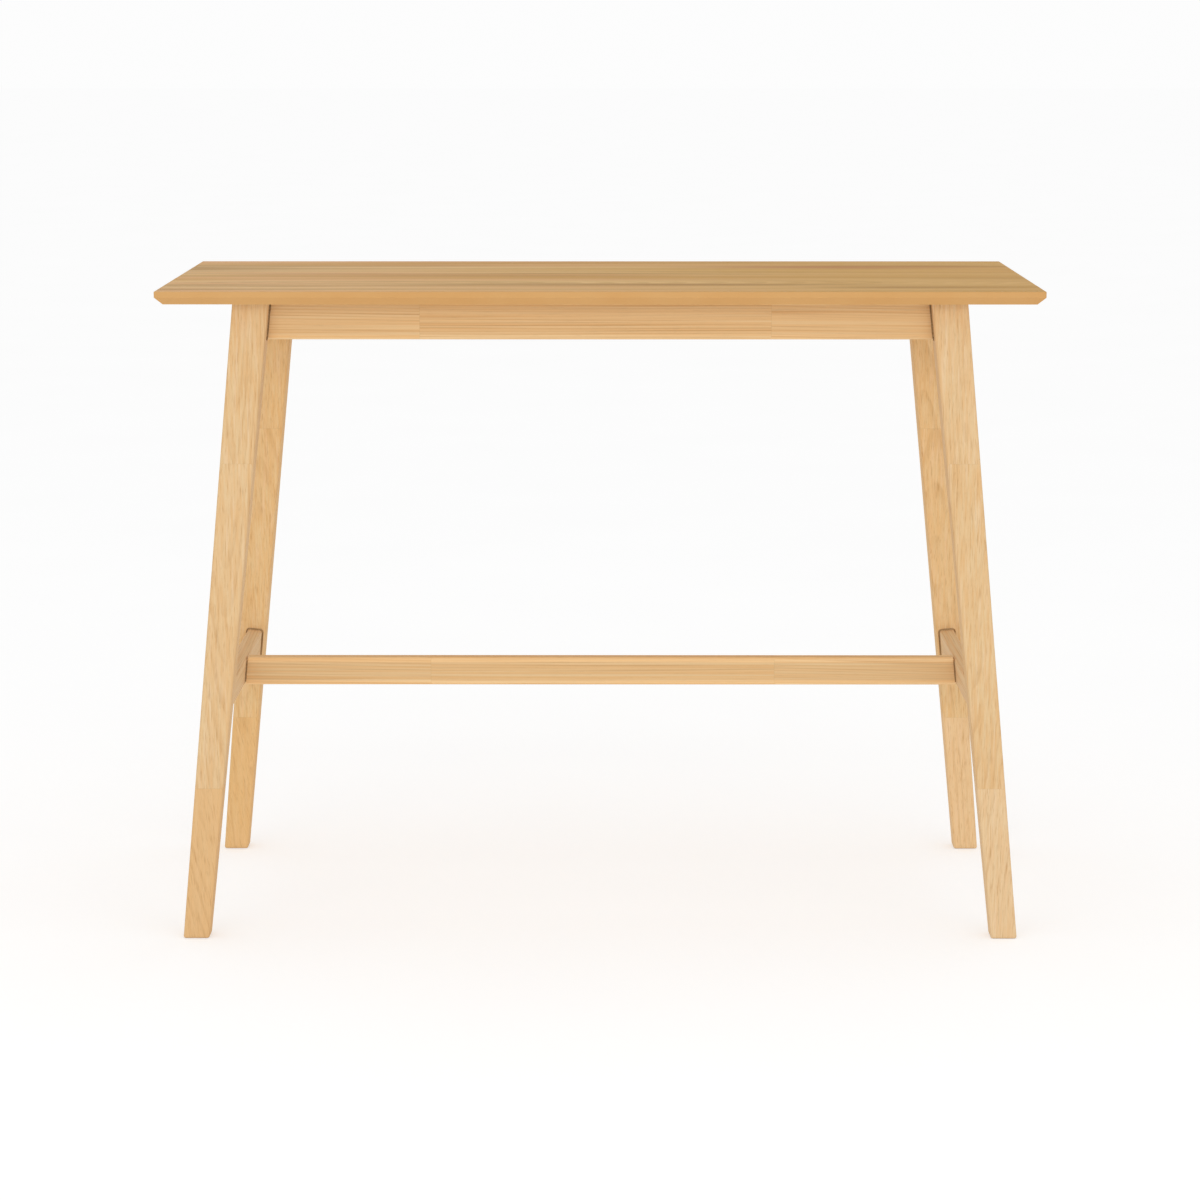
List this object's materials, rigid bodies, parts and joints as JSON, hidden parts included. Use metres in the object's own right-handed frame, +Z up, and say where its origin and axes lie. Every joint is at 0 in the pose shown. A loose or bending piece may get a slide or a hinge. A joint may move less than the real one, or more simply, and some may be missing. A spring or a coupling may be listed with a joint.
{
  "type": "high table",
  "caption": "Standing-height wooden table: thin rectangular top with an under-bevelled edge, tapered splayed legs, apron and H-shaped foot rail.",
  "frame": {"origin": "on the floor, under the middle of the table top", "axes": "+X along the table's length to the right, +Y to the back, +Z up"},
  "size_m": [1.4, 0.65, 1.05],
  "materials": {
    "lacquered_hardwood": "pale hardwood with a satin natural lacquer",
    "oak_veneer": "oak veneer with a satin lacquer, grain along the length",
    "backing_veneer": "plain balancing veneer, sanded",
    "lacquered_board": "fibre board, edges tinted and lacquered satin",
    "raw_hardwood": "planed hardwood, sealed",
    "beech_dowel": "plain beech",
    "zinc_steel": "bright zinc plate",
    "nylon_glide": "moulded nylon"
  },
  "bodies": {
    "root": {"front_left_leg": "lacquered_hardwood", "front_right_leg": "lacquered_hardwood", "back_left_leg": "lacquered_hardwood", "back_right_leg": "lacquered_hardwood", "front_apron": "lacquered_hardwood", "back_apron": "lacquered_hardwood", "left_apron": "lacquered_hardwood", "right_apron": "lacquered_hardwood", "left_side_stretcher": "lacquered_hardwood", "right_side_stretcher": "lacquered_hardwood", "foot_rail": "lacquered_hardwood", "tabletop_face_veneer": "oak_veneer", "tabletop_backing_veneer": "backing_veneer", "tabletop_core": "lacquered_board", "front_left_corner_block": "raw_hardwood", "front_right_corner_block": "raw_hardwood", "back_left_corner_block": "raw_hardwood", "back_right_corner_block": "raw_hardwood", "centre_brace": "raw_hardwood", "apron_dowels": "beech_dowel", "brace_dowels": "beech_dowel", "side_stretcher_dowels": "beech_dowel", "foot_rail_dowels": "beech_dowel", "hanger_bolts": "zinc_steel", "hanger_washers": "zinc_steel", "hanger_nuts": "zinc_steel", "corner_block_screws": "zinc_steel", "top_fixing_screws": "zinc_steel", "foot_rail_bolts": "zinc_steel", "foot_rail_barrel_nuts": "zinc_steel", "front_left_glide": "nylon_glide", "front_right_glide": "nylon_glide", "back_left_glide": "nylon_glide", "back_right_glide": "nylon_glide"}
  },
  "joints": []
}
